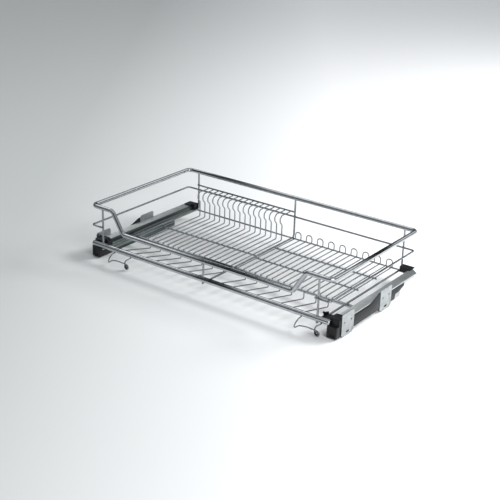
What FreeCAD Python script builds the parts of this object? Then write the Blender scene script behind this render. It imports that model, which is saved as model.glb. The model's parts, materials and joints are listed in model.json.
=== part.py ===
import FreeCAD, Part
import Sketcher
import os
from math import cos, pi, radians, sin, tan

# Pull-out dish basket for a 900 mm base cabinet, on soft-close runners.
# Millimetres. X to the right, Y to the back, Z up; the origin is on the floor under the middle
# of the whole object. "side" sizes are distances from the middle plane between the runners.

doc = FreeCAD.newDocument("dish_basket")
sheet = doc.addObject("Spreadsheet::Sheet", "Sheet")
V = FreeCAD.Vector

SIZES = [
    ("overall_width", 864.0, "over the cabinet brackets"),
    ("front_y", -214.0, "plane of the front rails"),
    ("rear_y", 231.4, "plane of the top rail's back run"),
    ("post_y", 233.6, "rear posts of the side and centre wires"),
    ("basket_x", -10.0, "middle of the basket, which sits off the middle of the runners"),
    ("base_z", 32.0, "base wires"),
    ("front_rail_z", 44.0, "lower front rail"),
    ("rail_top", 48.0, "top of the drawer rails"),
    ("dip_z", 98.0, "lowered middle of the top rail at the front"),
    ("mid_rail_z", 103.0, "middle rail"),
    ("plate_rail_z", 118.0, "rail behind the plate wires"),
    ("top_rail_z", 162.0, "top rail"),
    ("half_width", 415.0, "top rail, side to side, from the basket's middle"),
    ("side_wire_x", 377.0, "side wires, from the basket's middle"),
    ("rail_r", 6.5, "top rail, tube radius"),
    ("front_r", 8.0, "lower front rail, tube radius"),
    ("bar_r", 5.0, "front cross bar, rod radius"),
    ("rail_bend", 15.0, "corner radius of the rails"),
    ("mid_r", 2.75, "middle rail, wire radius"),
    ("frame_r", 2.9, "side and centre wires, wire radius"),
    ("cross_r", 2.5, "cross wires, rear bar and plate rail, wire radius"),
    ("fine_r", 1.75, "base, plate, bowl and tray wires, wire radius"),
    ("wire_pitch", 20.0, "base wires, side to side"),
    ("tray_pitch", 40.0, "front tray wires, side to side"),
    ("bar_y", -62.0, "front cross bar"),
    ("runner_front", -172.0, "front end of the rails"),
    ("runner_back", 226.0, "rear end of the drawer rails"),
    ("cabinet_back", 130.0, "rear end of the cabinet rails"),
    ("clip_back", 236.5, "rear end of the rear clips"),
    ("gauge", 1.5, "sheet thickness of the rails"),
    ("rail_in", 402.0, "inner face of the rails, from the middle"),
    ("rail_out", 421.0, "outer face of the rails, from the middle"),
    ("lip_out", 429.5, "outer lip of the drawer rail, from the middle"),
    ("ball_r", 2.0, "runner balls, radius"),
    ("plate_gauge", 2.0, "sheet thickness of the cabinet brackets"),
    ("bracket_length", 60.0, "cabinet bracket, front to back"),
    ("front_bracket_y", -197.0, "front edge of the front bracket"),
    ("rear_bracket_y", -1.0, "front edge of the rear bracket"),
    ("bracket_top", 66.0, "top of the cabinet brackets"),
    ("screw_r", 2.5, "cabinet screw holes, radius"),
    ("screw_pitch", 32.0, "cabinet screw holes, front to back"),
    ("screw_z", 40.0, "cabinet screw holes, height"),
]
for row, (alias, value, note) in enumerate(SIZES, start=1):
    sheet.set(f"A{row}", alias)
    sheet.set(f"B{row}", str(value))
    sheet.set(f"C{row}", note)
    sheet.setAlias(f"B{row}", alias)
doc.recompute()
size = {alias: value for alias, value, note in SIZES}

PARTS = []


def keep(node, label):
    """Marks a finished sub-part: its label names its file."""
    node.Label = label
    PARTS.append(node)
    return node


def bind(node, **rules):
    """Binds properties to sheet formulas; a double underscore stands for a dot in the name."""
    for name, rule in rules.items():
        node.setExpression(name.replace("__", "."), rule)


# ---- wires: straight runs joined by tangent arcs ------------------------------------------


def rounded_path(points, bend, closed=False):
    """Edges through the points, with each corner rounded by an arc of radius bend."""
    points = [V(*p) for p in points]
    count = len(points)
    bends = bend if isinstance(bend, list) else [bend] * count
    joints = []
    for i, corner in enumerate(points):
        if not closed and i in (0, count - 1):
            joints.append((corner, None, corner))
            continue
        before = (points[i - 1] - corner).normalize()
        after = (points[(i + 1) % count] - corner).normalize()
        turn = pi - before.getAngle(after)
        setback = bends[i] * tan(turn / 2)
        middle_dir = (before + after).normalize()
        centre = corner + middle_dir * (bends[i] / cos(turn / 2))
        joints.append((corner + before * setback, centre - middle_dir * bends[i], corner + after * setback))
    edges = []
    for i in range(count if closed else count - 1):
        start = joints[i][2]
        end, arc_middle, arc_end = joints[(i + 1) % count]
        if (end - start).Length > 1e-6:
            edges.append(Part.LineSegment(start, end).toShape())
        if arc_middle is not None:
            edges.append(Part.Arc(end, arc_middle, arc_end).toShape())
    return edges


def tube(edges, radius):
    """A round wire of this radius along the edges."""
    start = edges[0].Vertexes[0].Point
    direction = edges[0].tangentAt(edges[0].FirstParameter)
    ring = Part.Wire([Part.makeCircle(radius, start, direction)])
    path = Part.Wire(edges)
    solid = path.makePipeShell([ring], True, False)
    if not solid.Solids:
        solid = Part.makeSolid(solid)
    if solid.Volume < 0:
        solid.reverse()
    expected = pi * radius * radius * path.Length
    if abs(solid.Volume - expected) > 0.02 * expected:
        raise RuntimeError(f"wire volume {solid.Volume:.0f}, expected {expected:.0f}")
    return solid


def wire_part(label, solids):
    """A sub-part made of one bent wire, or of a group of separate ones."""
    node = doc.addObject("Part::Feature", label)
    node.Shape = solids[0] if len(solids) == 1 else Part.makeCompound(solids)
    return keep(node, label)


def rod_along_x(label, radius, x_from, x_to, y, z):
    """A straight rod between two side positions; every value is a sheet formula."""
    rod = doc.addObject("Part::Cylinder", label)
    rod.Placement = FreeCAD.Placement(V(0, 0, 0), FreeCAD.Rotation(V(0, 1, 0), 90))
    bind(rod, Radius=radius, Height=f"({x_to}) - ({x_from})")
    bind(rod, Placement__Base__x=x_from, Placement__Base__y=y, Placement__Base__z=z)
    return keep(rod, label)


def make_top_rail():
    """Closed chromed loop; its front run dips in the middle."""
    left = size["basket_x"] - size["half_width"]
    right = size["basket_x"] + size["half_width"]
    front, rear = size["front_y"], size["rear_y"]
    top, dip = size["top_rail_z"], size["dip_z"]
    shoulder, foot = 77.0, 117.0
    points = [
        (size["basket_x"], rear, top),
        (left, rear, top),
        (left, front, top),
        (left + shoulder, front, top),
        (left + foot, front, dip),
        (right - foot, front, dip),
        (right - shoulder, front, top),
        (right, front, top),
        (right, rear, top),
        (size["basket_x"], rear, top),
    ]
    wire_part("top_rail", [tube(rounded_path(points, size["rail_bend"]), size["rail_r"])])


def make_mid_rail():
    """Open wire round the sides and back, with short returns at the front."""
    left = size["basket_x"] - size["half_width"]
    right = size["basket_x"] + size["half_width"]
    front = size["front_y"] - size["frame_r"] - size["mid_r"]
    rear = size["post_y"] - size["frame_r"] - size["mid_r"]
    z = size["mid_rail_z"]
    reach = size["side_wire_x"] - 2 * size["frame_r"]
    points = [
        (size["basket_x"] - reach, front, z),
        (left, front, z),
        (left, rear, z),
        (right, rear, z),
        (right, front, z),
        (size["basket_x"] + reach, front, z),
    ]
    wire_part("mid_rail", [tube(rounded_path(points, 9.0), size["mid_r"])])


FRAME_RUN_Z = size["base_z"] + 1.2
POST_BEND = 9.0
WELD_SINK = 0.08
REAR_WELD_SINK = 0.3


def make_frame_wire(label, offset, top_z):
    """Front post between the two front rails, and a wire that runs back from them and up at the rear."""
    x = size["basket_x"] + offset
    front, rear = size["front_y"], size["post_y"]
    post = [
        (x, front, size["front_rail_z"] + size["front_r"] - WELD_SINK),
        (x, front, top_z - size["rail_r"] + WELD_SINK),
    ]
    run = [
        (x, front - 4.0, FRAME_RUN_Z),
        (x, rear, FRAME_RUN_Z),
        (x, rear, size["top_rail_z"] - size["rail_r"] + REAR_WELD_SINK),
    ]
    wire_part(label, [tube(rounded_path(path, POST_BEND), size["frame_r"]) for path in (post, run)])


PLATE_WIRES = 17
BOWL_LOOPS = 9
WIRE_FRONT_Y = size["bar_y"] - 3.0


def make_plate_wires():
    """Base wires of the left half; each rises at the back, kinks and runs to the plate rail."""
    top_z = size["plate_rail_z"] - size["cross_r"] - size["fine_r"]
    foot_y = size["rear_y"] - 42.0
    wires = []
    for k in range(PLATE_WIRES):
        x = size["basket_x"] - 16.0 - size["wire_pitch"] * k
        points = [
            (x, WIRE_FRONT_Y, size["base_z"]),
            (x, foot_y, size["base_z"]),
            (x, foot_y, size["base_z"] + 50.0),
            (x, foot_y - 11.0, size["base_z"] + 62.0),
            (x, foot_y - 11.0, top_z - 8.0),
            (x, foot_y - 3.0, top_z),
            (x, size["post_y"] - 3.4, top_z),
        ]
        wires.append(tube(rounded_path(points, [0, 5, 7, 7, 5, 5, 0]), size["fine_r"]))
    wire_part("plate_wires", wires)


def make_bowl_wires():
    """Base wires of the right half, in pairs: each pair is one hairpin with a raised arch."""
    top_z = size["base_z"] + 22.0
    arch_y = size["post_y"] - 2.44
    reach = size["wire_pitch"] / 2
    loops = []
    for k in range(BOWL_LOOPS):
        centre = size["basket_x"] + 18.0 + 2 * size["wire_pitch"] * k
        points = [
            (centre - reach, WIRE_FRONT_Y, size["base_z"]),
            (centre - reach, arch_y, size["base_z"]),
            (centre - reach, arch_y, top_z),
            (centre + reach, arch_y, top_z),
            (centre + reach, arch_y, size["base_z"]),
            (centre + reach, WIRE_FRONT_Y, size["base_z"]),
        ]
        loops.append(tube(rounded_path(points, [0, 5, 9.5, 9.5, 5, 0]), size["fine_r"]))
    wire_part("bowl_wires", loops)


TRAY_WIRES_PER_SIDE = 8


def make_tray_wires():
    """Front tray: each wire slopes back from the front rail and turns up to the cross bar."""
    leg_y = size["bar_y"] - size["bar_r"] - size["fine_r"] + 0.1
    bar_z = size["base_z"] - size["fine_r"] - size["bar_r"]
    wires = []
    for k in range(-TRAY_WIRES_PER_SIDE, TRAY_WIRES_PER_SIDE + 1):
        if k == 0:
            continue
        x = size["basket_x"] + size["tray_pitch"] * k
        points = [
            (x, size["front_y"] + 6.8, size["front_rail_z"] - 4.4),
            (x, leg_y, 5.5),
            (x, leg_y, bar_z + 2.0),
        ]
        wires.append(tube(rounded_path(points, 4.5), size["fine_r"]))
    wire_part("front_tray_wires", wires)


def make_hook(label, offset):
    """Front-panel hook: one wire with a V foot, a bowed bar and an eyelet; welded by both ends."""
    x = size["basket_x"] + offset
    y = size["front_y"]
    under = size["front_rail_z"] - size["front_r"] - size["fine_r"] + 0.1
    eye_x, eye_z, eye_r = 61.0, 12.0, 8.0
    lead = [
        (x, y + 1.0, under),
        (x, y - 12.0, under - 1.5),
        (x - 4.0, y - 20.0, 23.0),
        (x - 10.0, y - 20.7, 5.0),
        (x + 8.0, y - 20.7, 18.0),
        (x + 30.0, y - 20.7, 21.5),
    ]
    eye = []
    steps = 6
    for k in range(steps + 1):
        angle = radians(90 - 270 * k / steps)
        drift = -20.7 + 4.4 * k / steps
        eye.append((x + eye_x + 1.08 * eye_r * cos(angle), y + drift, eye_z + 1.08 * eye_r * sin(angle)))
    tail = [
        (x + 53.5, y - 15.0, 27.0),
        (x + 62.0, y - 9.0, under - 1.5),
        (x + 63.0, y + 1.0, under),
    ]
    points = lead + eye + tail
    bends = [0, 6, 30, 2.2, 12, 40] + [6.0] * len(eye) + [10, 5, 0]
    wire_part(label, [tube(rounded_path(points, bends), size["fine_r"])])
    grommet = doc.addObject("Part::Cut", label + "_grommet_cut")
    body = doc.addObject("Part::Cylinder", label + "_grommet_body")
    bore = doc.addObject("Part::Cylinder", label + "_grommet_bore")
    for cylinder, radius, length in ((body, 6.0, 5.0), (bore, 3.2, 9.0)):
        cylinder.Radius = radius
        cylinder.Height = length
        cylinder.Placement = FreeCAD.Placement(
            V(x + eye_x, y - 18.5 + length / 2, eye_z), FreeCAD.Rotation(V(1, 0, 0), 90))
    grommet.Base = body
    grommet.Tool = bore
    keep(grommet, label + "_grommet")


# ---- runner parts: the right side is built, the left side is its mirror image --------------


def box(label, x, y, z):
    """A box between pairs of sheet formulas."""
    node = doc.addObject("Part::Box", label)
    bind(node, Length=f"({x[1]}) - ({x[0]})", Width=f"({y[1]}) - ({y[0]})", Height=f"({z[1]}) - ({z[0]})")
    bind(node, Placement__Base__x=str(x[0]), Placement__Base__y=str(y[0]), Placement__Base__z=str(z[0]))
    return node


def profile(body, name, plane, corners, offset):
    """A closed polygon sketch; each corner is held by two dimensions bound to sheet formulas."""
    sketch = body.newObject("Sketcher::SketchObject", name)
    origin = [f for f in body.Origin.OriginFeatures if f.Role == plane][0]
    sketch.AttachmentSupport = [(origin, "")]
    sketch.MapMode = "FlatFace"
    sketch.setExpression("AttachmentOffset.Base.z", offset)
    spots = [V(sheet_value(a), sheet_value(b), 0) for a, b in corners]
    for i, spot in enumerate(spots):
        sketch.addGeometry(Part.LineSegment(spot, spots[(i + 1) % len(spots)]))
    for i in range(len(spots)):
        sketch.addConstraint(Sketcher.Constraint("Coincident", i, 2, (i + 1) % len(spots), 1))
    for i, (a, b) in enumerate(corners):
        for kind, rule, value in (("DistanceX", a, spots[i].x), ("DistanceY", b, spots[i].y)):
            index = sketch.addConstraint(Sketcher.Constraint(kind, -1, 1, i, 1, value))
            sketch.setExpression(f"Constraints[{index}]", rule)
    return sketch


probe_row = len(SIZES) + 2


def sheet_value(rule):
    """The number that a sheet formula gives."""
    sheet.set(f"E{probe_row}", "=" + rule.replace("Sheet.", ""))
    sheet.recompute()
    return float(sheet.get(f"E{probe_row}"))


def section_body(label, corners, y_from, y_to):
    """A rail: a section in the XZ plane, padded from front to back."""
    body = doc.addObject("PartDesign::Body", label)
    sketch = profile(body, label + "_section", "XZ_Plane", corners, f"-({y_from})")
    pad = body.newObject("PartDesign::Pad", label + "_pad")
    pad.Profile = sketch
    pad.Reversed = True
    pad.setExpression("Length", f"({y_to}) - ({y_from})")
    doc.recompute()
    return body


def mirrored(source, label):
    """The left-hand twin of a right-hand sub-part."""
    twin = doc.addObject("Part::Mirroring", label)
    twin.Source = source
    twin.Normal = (1, 0, 0)
    twin.Base = (0, 0, 0)
    return keep(twin, label)


def pair(source, name):
    """Keeps a right-hand sub-part and its left-hand twin."""
    keep(source, "right_" + name)
    mirrored(source, "left_" + name)


RAIL_TOP = "Sheet.rail_top"


def make_drawer_rail():
    """Inverted channel with a tall inner wall and a wide top that covers the damper housing."""
    g, top = "Sheet.gauge", RAIL_TOP
    inner, outer, lip = "Sheet.rail_in", "Sheet.rail_out", "Sheet.lip_out"
    corners = [
        (inner, f"{top} - 25"), (f"{inner} + {g}", f"{top} - 25"),
        (f"{inner} + {g}", f"{top} - {g}"), (f"{outer} - {g}", f"{top} - {g}"),
        (f"{outer} - {g}", f"{top} - 17"), (outer, f"{top} - 17"),
        (outer, f"{top} - {g}"), (f"{lip} - {g}", f"{top} - {g}"),
        (f"{lip} - {g}", f"{top} - 4"), (lip, f"{top} - 4"),
        (lip, top), (inner, top),
    ]
    rail = section_body("drawer_rail", corners, "Sheet.runner_front + 0.2", "Sheet.runner_back")
    before = rail.Shape.Volume
    corner = profile(rail, "drawer_rail_corner", "XY_Plane", [
        (f"{lip} - 24", "Sheet.runner_back + 1"), (f"{lip} + 1", "Sheet.runner_back - 20"),
        (f"{lip} + 1", "Sheet.runner_back + 1"),
    ], f"{top} + 1")
    cut = rail.newObject("PartDesign::Pocket", "drawer_rail_corner_cut")
    cut.Profile = corner
    cut.Length = 20.0
    doc.recompute()
    if before - rail.Shape.Volume < 10.0:
        raise RuntimeError("the rear corner of the drawer rail was not cut")
    pair(rail, "drawer_rail")


def make_middle_rail():
    """Narrow box section that runs between the two outer channels."""
    rail = section_body("middle_rail", [
        ("Sheet.rail_in + 5.65", f"{RAIL_TOP} - 41.5"), ("Sheet.rail_out - 5.65", f"{RAIL_TOP} - 41.5"),
        ("Sheet.rail_out - 5.65", f"{RAIL_TOP} - 4.5"), ("Sheet.rail_in + 5.65", f"{RAIL_TOP} - 4.5"),
    ], "Sheet.runner_front + 3", "Sheet.cabinet_back - 4")
    hollow = profile(rail, "middle_rail_hollow", "XZ_Plane", [
        ("Sheet.rail_in + 6.85", f"{RAIL_TOP} - 40.3"), ("Sheet.rail_out - 6.85", f"{RAIL_TOP} - 40.3"),
        ("Sheet.rail_out - 6.85", f"{RAIL_TOP} - 5.7"), ("Sheet.rail_in + 6.85", f"{RAIL_TOP} - 5.7"),
    ], "-(Sheet.runner_front + 3)")
    solid_volume = rail.Shape.Volume
    cut = rail.newObject("PartDesign::Pocket", "middle_rail_cut")
    cut.Profile = hollow
    cut.Type = "ThroughAll"
    cut.Reversed = False
    doc.recompute()
    if rail.Shape.Volume > 0.99 * solid_volume:
        cut.Reversed = True
        doc.recompute()
    if rail.Shape.Volume > 0.99 * solid_volume:
        raise RuntimeError("the middle rail is not hollow")
    pair(rail, "middle_rail")


def make_cabinet_rail():
    """Upward channel that is riveted to the cabinet brackets."""
    g = "Sheet.gauge"
    low, high = f"{RAIL_TOP} - 46", f"{RAIL_TOP} - 28"
    rail = section_body("cabinet_rail", [
        ("Sheet.rail_in", low), ("Sheet.rail_out", low), ("Sheet.rail_out", high),
        (f"Sheet.rail_out - {g}", high), (f"Sheet.rail_out - {g}", f"{low} + {g}"),
        (f"Sheet.rail_in + {g}", f"{low} + {g}"), (f"Sheet.rail_in + {g}", high), ("Sheet.rail_in", high),
    ], "Sheet.runner_front + 2", "Sheet.cabinet_back")
    pair(rail, "cabinet_rail")


BALLS_PER_ROW = 6
CAGE_LENGTH = 100.0
CAGE_SIDE = 0.8


def make_ball_cage(level, y_from, ball_z, web_z):
    """Plastic cage with two rows of steel balls; the web joins the rows past the middle rail."""
    middle = (size["rail_in"] + size["rail_out"]) / 2
    row = (size["rail_out"] - size["rail_in"]) / 2 - size["gauge"] - 2.1
    pitch = (CAGE_LENGTH - 14.0) / (BALLS_PER_ROW - 1)
    web_low, web_high = web_z
    reach = row + CAGE_SIDE / 2
    cage = Part.makeBox(2 * reach, CAGE_LENGTH, web_high - web_low, V(middle - reach, y_from, web_low))
    side_low, side_high = min(web_low, ball_z - 4.0), max(web_high, ball_z + 4.0)
    balls = []
    for sign in (-1, 1):
        x = middle + sign * row
        side = Part.makeBox(CAGE_SIDE, CAGE_LENGTH, side_high - side_low, V(x - CAGE_SIDE / 2, y_from, side_low))
        cage = cage.fuse(side)
        for k in range(BALLS_PER_ROW):
            centre = V(x, y_from + 7.0 + pitch * k, ball_z)
            balls.append(Part.makeSphere(size["ball_r"], centre))
            pocket = Part.makeCylinder(size["ball_r"] + 0.05, 4.0, centre - V(2.0, 0, 0), V(1, 0, 0))
            cage = cage.cut(pocket)
    frame = doc.addObject("Part::Feature", level + "_ball_cage")
    frame.Shape = cage.removeSplitter()
    pair(frame, level + "_ball_cage")
    group = doc.addObject("Part::Feature", level + "_balls")
    group.Shape = Part.makeCompound(balls)
    pair(group, level + "_balls")


def make_bracket(name, y_edge):
    """Cabinet bracket: an upright plate with screw holes and a slot, and a flange under the rail."""
    outer, g = "Sheet.overall_width / 2", "Sheet.plate_gauge"
    y_end = f"{y_edge} + Sheet.bracket_length"
    body = doc.addObject("PartDesign::Body", name)
    plate = profile(body, name + "_plate", "YZ_Plane", [
        (f"{y_edge} + 8", "0"), (f"{y_end} - 8", "0"), (y_end, "8"), (y_end, "Sheet.bracket_top - 4"),
        (f"{y_end} - 4", "Sheet.bracket_top"), (f"{y_edge} + 4", "Sheet.bracket_top"),
        (y_edge, "Sheet.bracket_top - 4"), (y_edge, "8"),
    ], f"{outer} - {g}")
    pad = body.newObject("PartDesign::Pad", name + "_pad")
    pad.Profile = plate
    pad.setExpression("Length", g)
    flange = profile(body, name + "_flange", "XY_Plane", [
        ("Sheet.rail_in", f"{y_edge} + 8"), (f"{outer} - {g} / 2", f"{y_edge} + 8"),
        (f"{outer} - {g} / 2", f"{y_end} - 8"), ("Sheet.rail_in", f"{y_end} - 8"),
    ], "0")
    foot = body.newObject("PartDesign::Pad", name + "_foot")
    foot.Profile = flange
    foot.setExpression("Length", g)
    doc.recompute()
    before = body.Shape.Volume
    openings = body.newObject("Sketcher::SketchObject", name + "_holes")
    origin = [f for f in body.Origin.OriginFeatures if f.Role == "YZ_Plane"][0]
    openings.AttachmentSupport = [(origin, "")]
    openings.MapMode = "FlatFace"
    openings.setExpression("AttachmentOffset.Base.z", f"{outer} - 2 * {g}")
    middle = sheet_value(f"{y_edge} + Sheet.bracket_length / 2")
    for k, sign in enumerate((-1, 1)):
        y = middle + sign * size["screw_pitch"] / 2
        openings.addGeometry(Part.Circle(V(y, size["screw_z"], 0), V(0, 0, 1), size["screw_r"]))
        for kind, rule in (
            ("DistanceX", f"{y_edge} + Sheet.bracket_length / 2 + {sign} * Sheet.screw_pitch / 2"),
            ("DistanceY", "Sheet.screw_z"),
        ):
            index = openings.addConstraint(Sketcher.Constraint(kind, -1, 1, k, 3, sheet_value(rule)))
            openings.setExpression(f"Constraints[{index}]", rule)
        index = openings.addConstraint(Sketcher.Constraint("Radius", k, size["screw_r"]))
        openings.setExpression(f"Constraints[{index}]", "Sheet.screw_r")
    slot_z, slot_half, slot_r = 11.0, 5.0, 2.6
    left, right = V(middle - slot_half, slot_z, 0), V(middle + slot_half, slot_z, 0)
    rise = V(0, slot_r, 0)
    openings.addGeometry(Part.LineSegment(left + rise, right + rise))
    openings.addGeometry(Part.LineSegment(left - rise, right - rise))
    openings.addGeometry(Part.ArcOfCircle(Part.Circle(left, V(0, 0, 1), slot_r), pi / 2, 3 * pi / 2))
    openings.addGeometry(Part.ArcOfCircle(Part.Circle(right, V(0, 0, 1), slot_r), -pi / 2, pi / 2))
    cut = body.newObject("PartDesign::Pocket", name + "_cut")
    cut.Profile = openings
    cut.setExpression("Length", f"3 * {g}")
    cut.Reversed = True
    doc.recompute()
    if before - body.Shape.Volume < 100.0:
        raise RuntimeError("the bracket holes were not cut")
    pair(body, name)


def make_rivets():
    """Rivets through the bracket flanges and the cabinet rail's floor."""
    middle = (size["rail_in"] + size["rail_out"]) / 2
    floor = size["rail_top"] - 46.0
    rivets = []
    for y in (size["front_bracket_y"] + 34.0, size["front_bracket_y"] + 46.0,
              size["rear_bracket_y"] + 18.0, size["rear_bracket_y"] + 42.0):
        head = Part.makeCylinder(3.0, 0.5, V(middle, y, floor + size["gauge"]))
        rivets.append(head)
    node = doc.addObject("Part::Feature", "bracket_rivets")
    node.Shape = Part.makeCompound(rivets)
    pair(node, "bracket_rivets")


DAMPER_X = 425.7
HOUSING_BACK = "Sheet.front_y + 350"


def make_damper_housing():
    """Black plastic shell on the outer side of the rail, with a slot along its top."""
    top = RAIL_TOP
    main_front = "Sheet.front_bracket_y + Sheet.bracket_length + 2"
    shell = box("housing_main", ("Sheet.rail_out + 0.6", "Sheet.overall_width / 2 - 2.4"),
                (main_front, HOUSING_BACK), (f"{top} - 38", f"{top} - 5"))
    rib = box("housing_rib", ("Sheet.rail_out", "Sheet.rail_out + 0.6"),
              (f"{main_front} + 30", f"{HOUSING_BACK} - 20"), (f"{top} - 38", f"{top} - 29"))
    pad = doc.addObject("Part::Feature", "housing_pad")
    y_front = size["front_bracket_y"] + size["bracket_length"] + 2.0
    y_back = size["rear_bracket_y"] - 2.0
    z_top = size["rail_top"]
    x_pad = size["overall_width"] / 2 - 2.1
    outline = [(y_front, z_top - 36), (y_back - 14, z_top - 36), (y_back, z_top - 32), (y_back, z_top + 13),
               (y_back - 6, z_top + 13), (y_back - 54, z_top - 5), (y_front, z_top - 5), (y_front, z_top - 36)]
    face = Part.Face(Part.makePolygon([V(x_pad, y, z) for y, z in outline]))
    pad.Shape = face.extrude(V(2.0, 0, 0))
    bridge = box("housing_bridge", ("Sheet.overall_width / 2 - 2.5", "Sheet.overall_width / 2 - 2"),
                 (main_front, "Sheet.rear_bracket_y - 2"), (f"{top} - 35", f"{top} - 6"))
    cavity = box("housing_cavity", ("Sheet.rail_out + 1.8", "Sheet.overall_width / 2 - 3.4"),
                 (f"{main_front} + 1.2", f"{HOUSING_BACK} - 1.2"), (f"{top} - 36.8", f"{top} - 6.2"))
    slot = box("housing_slot", (f"{DAMPER_X} - 2.1", f"{DAMPER_X} + 2.1"),
               (f"{main_front} - 1", f"{HOUSING_BACK} - 36"), (f"{top} - 12", f"{top} - 4"))
    taper = doc.addObject("Part::Feature", "housing_taper")
    back = size["front_y"] + 350.0
    wedge = [(back - 52, z_top - 39), (back + 1, z_top - 39), (back + 1, z_top - 14), (back - 32, z_top - 23.5),
             (back - 48, z_top - 24), (back - 52, z_top - 39)]
    wedge_face = Part.Face(Part.makePolygon([V(size["rail_out"] - 1, y, z) for y, z in wedge]))
    taper.Shape = wedge_face.extrude(V(12.0, 0, 0))
    plus = doc.addObject("Part::MultiFuse", "housing_plus")
    plus.Shapes = [shell, rib, pad, bridge]
    minus = doc.addObject("Part::MultiFuse", "housing_minus")
    minus.Shapes = [slot, taper]
    hollow = doc.addObject("Part::Cut", "housing_hollow")
    hollow.Base = plus
    hollow.Tool = cavity
    housing = doc.addObject("Part::Cut", "housing")
    housing.Base = hollow
    housing.Tool = minus
    pair(housing, "damper_housing")


def make_damper():
    """Inside the housing: hollow cylinder, rod, catch and the spring that pulls the catch back."""
    z_top = size["rail_top"]
    y0 = size["front_y"]
    low_z = z_top - 30.5
    body = Part.makeCylinder(2.4, 100.0, V(DAMPER_X, y0 + 128, low_z), V(0, 1, 0))
    bore = Part.makeCylinder(1.3, 98.0, V(DAMPER_X, y0 + 132, low_z), V(0, 1, 0))
    cylinder = doc.addObject("Part::Feature", "damper_cylinder")
    cylinder.Shape = body.cut(bore)
    pair(cylinder, "damper_cylinder")
    rod = doc.addObject("Part::Feature", "damper_rod")
    rod.Shape = Part.makeCylinder(1.0, 85.0, V(DAMPER_X, y0 + 205, low_z), V(0, 1, 0))
    pair(rod, "damper_rod")
    outline = [(290, -34), (297, -34), (297, -22), (316, -22), (316, -10), (309, -10), (309, -5.5),
               (303.5, -5.5), (303.5, -10), (290, -10), (290, -34)]
    face = Part.Face(Part.makePolygon([V(DAMPER_X - 1.6, y0 + y, z_top + z) for y, z in outline]))
    catch = doc.addObject("Part::Feature", "catch")
    catch.Shape = face.extrude(V(3.2, 0, 0))
    pair(catch, "catch")
    spring_r, spring_wire, turns, spring_length = 1.9, 0.45, 12, 14.0
    helix = Part.makeHelix(spring_length / turns, spring_length, spring_r)
    start = V(spring_r, 0, 0)
    ring = Part.Wire([Part.makeCircle(spring_wire, start, V(0, 1, 0))])
    coil = Part.Wire(helix).makePipeShell([ring], True, True)
    coil.Placement = FreeCAD.Placement(V(DAMPER_X, y0 + 317 + spring_length, z_top - 16), FreeCAD.Rotation(V(1, 0, 0), 90))
    spring = doc.addObject("Part::Feature", "closing_spring")
    spring.Shape = coil
    pair(spring, "closing_spring")
    pin = doc.addObject("Part::Cylinder", "drive_pin")
    pin.Radius = 1.3
    pin.Height = 7.5
    bind(pin, Placement__Base__x=f"{DAMPER_X}", Placement__Base__y="Sheet.front_y + 301")
    bind(pin, Placement__Base__z=f"{RAIL_TOP} - 9")
    pair(pin, "drive_pin")


def make_front_block():
    """Black plastic block behind each end of the front rail; it locks onto the drawer rail."""
    top = RAIL_TOP
    sides = ("Sheet.rail_in - 3", "Sheet.lip_out - 0.1")
    upright = box("front_block_upright", sides, ("Sheet.front_y + Sheet.front_r + 0.2", "Sheet.runner_front + 0.2"),
                  (f"{top} - 45", f"{top} + 6"))
    ledge = box("front_block_ledge", sides, ("Sheet.front_y - 4", "Sheet.front_y + Sheet.front_r + 1"),
                (f"{top} - 45", "Sheet.front_rail_z - Sheet.front_r - 0.1"))
    recess = box("front_block_recess", ("Sheet.rail_in + 3", "Sheet.lip_out - 6"),
                 ("Sheet.front_y - 5", "Sheet.front_y - 0.5"), (f"{top} - 40", f"{top} - 18"))
    whole = doc.addObject("Part::Fuse", "front_block_whole")
    whole.Base = upright
    whole.Tool = ledge
    front_block = doc.addObject("Part::Cut", "front_block")
    front_block.Base = whole
    front_block.Tool = recess
    pair(front_block, "front_block")


LEVER_WIDTH = 4.0
PIVOT_R = 1.2


def side_box(label, sign, side_from, side_to, y, z):
    """A box between two distances from the middle plane, on the right (+1) or the left (-1)."""
    low, high = sorted((sign * side_from, sign * side_to))
    return box(label, (low, high), y, z)


def make_front_clip(side, sign, wire_side):
    """Plastic clip from the front block to the side wire, with the release lever on a pin."""
    top = size["rail_top"] - 8.0
    lever_side = wire_side + 0.3
    ear_side = lever_side + LEVER_WIDTH + 0.4
    y0, z0 = size["front_y"] + 24.0, top + 6.0
    pivot = V(sign * lever_side, y0 + 12.5, z0 + 2.4)
    clip = side_box(f"{side}_front_clip_body", sign, wire_side, size["rail_in"] - 3.1,
                    ("Sheet.front_y + 12", "Sheet.runner_front"), (top - 11, top + 5))
    ear = side_box(f"{side}_front_clip_ear", sign, ear_side, ear_side + 1.8,
                   (y0 + 8, y0 + 17), (top + 4, z0 + 6.0))
    pin = doc.addObject("Part::Cylinder", f"{side}_front_clip_pin")
    pin.Radius = PIVOT_R
    pin.Height = LEVER_WIDTH + 1.0
    pin.Placement = FreeCAD.Placement(pivot, FreeCAD.Rotation(V(0, 1, 0), 90 * sign))
    whole = doc.addObject("Part::MultiFuse", f"{side}_front_clip_whole")
    whole.Shapes = [clip, ear, pin]
    keep(whole, f"{side}_front_clip")
    outline = [(0, 0), (15, 0), (15, 5), (5, 5), (2, 10), (-4, 12), (-6, 9), (-3, 6.5), (0, 0)]
    low_x = min(sign * lever_side, sign * (lever_side + LEVER_WIDTH))
    face = Part.Face(Part.makePolygon([V(low_x, y0 + y, z0 + z) for y, z in outline]))
    hole = Part.makeCylinder(PIVOT_R + 0.06, LEVER_WIDTH + 2.0, V(low_x - 1.0, pivot.y, pivot.z), V(1, 0, 0))
    lever = doc.addObject("Part::Feature", f"{side}_lever")
    lever.Shape = face.extrude(V(LEVER_WIDTH, 0, 0)).cut(hole)
    keep(lever, f"{side}_release_lever")


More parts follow.
